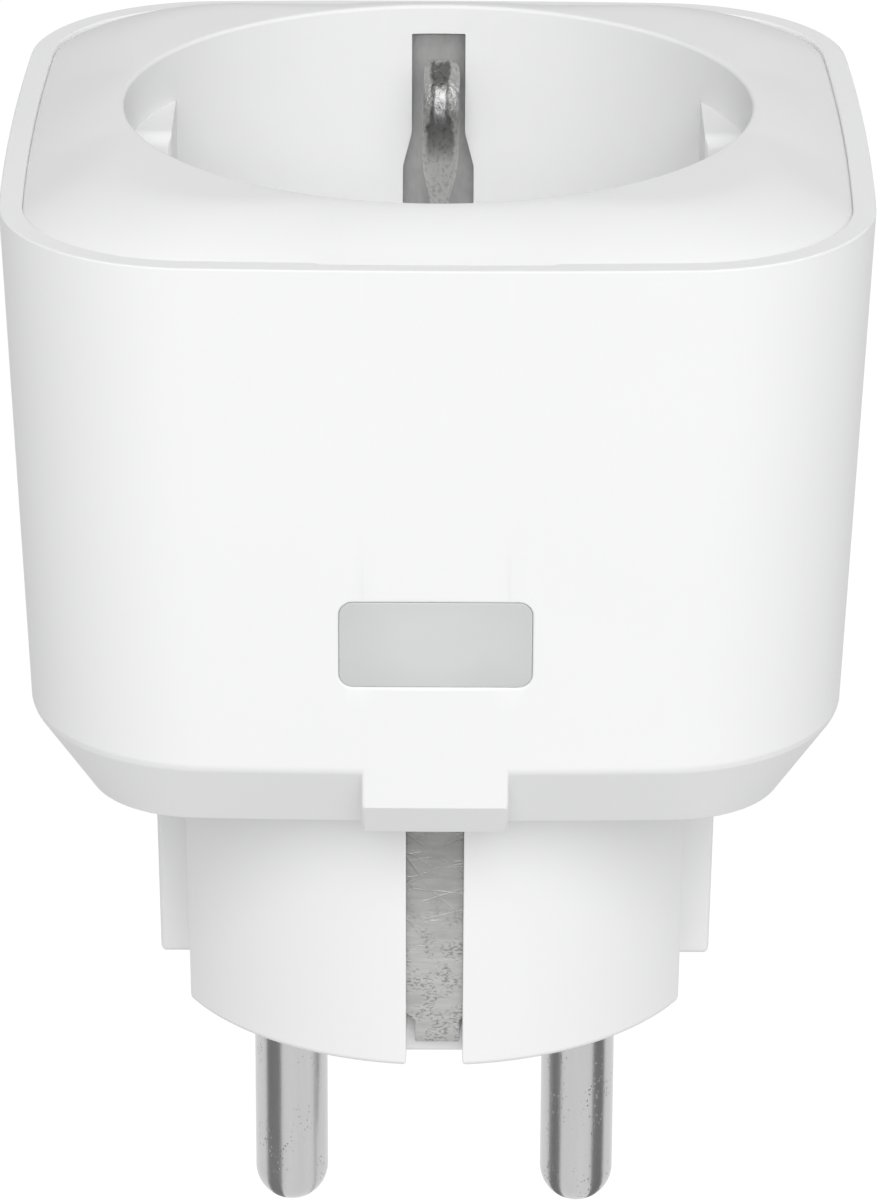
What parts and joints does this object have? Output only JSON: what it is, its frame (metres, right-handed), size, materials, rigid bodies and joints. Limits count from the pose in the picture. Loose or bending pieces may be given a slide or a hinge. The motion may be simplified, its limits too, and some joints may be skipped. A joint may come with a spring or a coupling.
{
  "type": "plug in power meter",
  "caption": "White plug-in power meter: a round earthed plug below a rounded square housing, a domed top with a shuttered socket, and a lit push button in the front wall.",
  "frame": {"origin": "centre of the plug's face, midway between the two pins", "axes": "+Z from the plug toward the socket, -Y toward the button, X through both pins"},
  "size_m": [0.0532, 0.053, 0.0772],
  "materials": {
    "shell_plastic": "fine satin, white",
    "insert_plastic": "satin, white",
    "plug_plastic": "satin, white",
    "button_plastic": "translucent, cool grey",
    "pin_nickel": "bright nickel plating",
    "earth_metal": "stamped, scuffed sheet",
    "clip_metal": "bright, worn spring strip",
    "contact_bronze": "formed bronze",
    "copper_bar": "bare copper",
    "shutter_plastic": "moulded, ivory",
    "cover_plastic": "moulded, white",
    "spring_steel": "drawn wire",
    "screw_steel": "zinc-plated",
    "circuit_board": "solder mask, green",
    "relay_case": "moulded, blue",
    "film_capacitor_case": "moulded, yellow",
    "capacitor_sleeve": "shrink sleeve, black",
    "inductor_core": "enamelled winding on a ferrite core",
    "varistor_coat": "dipped epoxy, blue",
    "fuse_coat": "cement coat, green",
    "chip_mould": "moulded, black",
    "shunt_alloy": "resistance alloy",
    "black_plastic": "moulded, black",
    "plunger_plastic": "moulded, brown",
    "led_lens": "clear lens",
    "screen_can": "tinned sheet",
    "gold_trace": "gold plating"
  },
  "bodies": {
    "housing": {"outer_shell": "shell_plastic", "plug_body": "plug_plastic", "socket_insert": "insert_plastic", "line_pin": "pin_nickel", "neutral_pin": "pin_nickel", "earth_bracket": "earth_metal", "line_contact": "contact_bronze", "neutral_contact": "contact_bronze", "shutter_spring": "spring_steel", "shutter_cover": "cover_plastic", "cover_screws": "screw_steel", "housing_screws": "screw_steel", "power_board": "circuit_board", "relay": "relay_case", "line_capacitor": "film_capacitor_case", "bulk_capacitors": "capacitor_sleeve", "power_inductor": "inductor_core", "varistor": "varistor_coat", "fuse_resistor": "fuse_coat", "rectifier": "chip_mould", "supply_chip": "chip_mould", "metering_chip": "chip_mould", "current_shunt": "shunt_alloy", "line_bar": "copper_bar", "neutral_bar": "copper_bar", "relay_bar": "copper_bar", "control_board": "circuit_board", "tact_switch": "black_plastic", "status_leds": "led_lens", "light_shroud": "black_plastic", "radio_module": "screen_can", "antenna": "gold_trace", "board_header": "black_plastic"},
    "button": {"status_button": "button_plastic"},
    "switch_plunger": {"tact_plunger": "plunger_plastic"},
    "shutter": {"shutter_rotor": "shutter_plastic"},
    "front_earth_clip": {"earth_clip_front": "clip_metal"},
    "rear_earth_clip": {"earth_clip_rear": "clip_metal"}
  },
  "joints": [
    {"name": "button_press", "type": "slide", "parent": "housing", "child": "button", "axis": [0, 1, 0], "range_m": [0, 0.0003], "stiffness_N_per_m": 4000, "springref_m": -0.0002},
    {"name": "plunger_press", "type": "slide", "parent": "housing", "child": "switch_plunger", "axis": [0, 1, 0], "range_m": [0, 0.0003]},
    {"name": "shutter_turn", "type": "hinge", "parent": "housing", "child": "shutter", "pos_m": [0, 0, 0.037], "axis": [0, 0, 1], "range_deg": [0, 38], "stiffness_Nm_per_rad": 0.004, "springref_deg": -11.46, "deforming": ["shutter_spring"]},
    {"name": "earth_clip_front_flex", "type": "hinge", "parent": "housing", "child": "front_earth_clip", "pos_m": [0, -0.0206, 0.0385], "axis": [1, 0, 0], "range_deg": [0, 4.3], "stiffness_Nm_per_rad": 0.8},
    {"name": "earth_clip_rear_flex", "type": "hinge", "parent": "housing", "child": "rear_earth_clip", "pos_m": [0, 0.0206, 0.0385], "axis": [-1, 0, 0], "range_deg": [0, 4.3], "stiffness_Nm_per_rad": 0.8}
  ],
  "couplings": [
    {"joint": "plunger_press", "follows": "button_press", "ratio": 1}
  ]
}
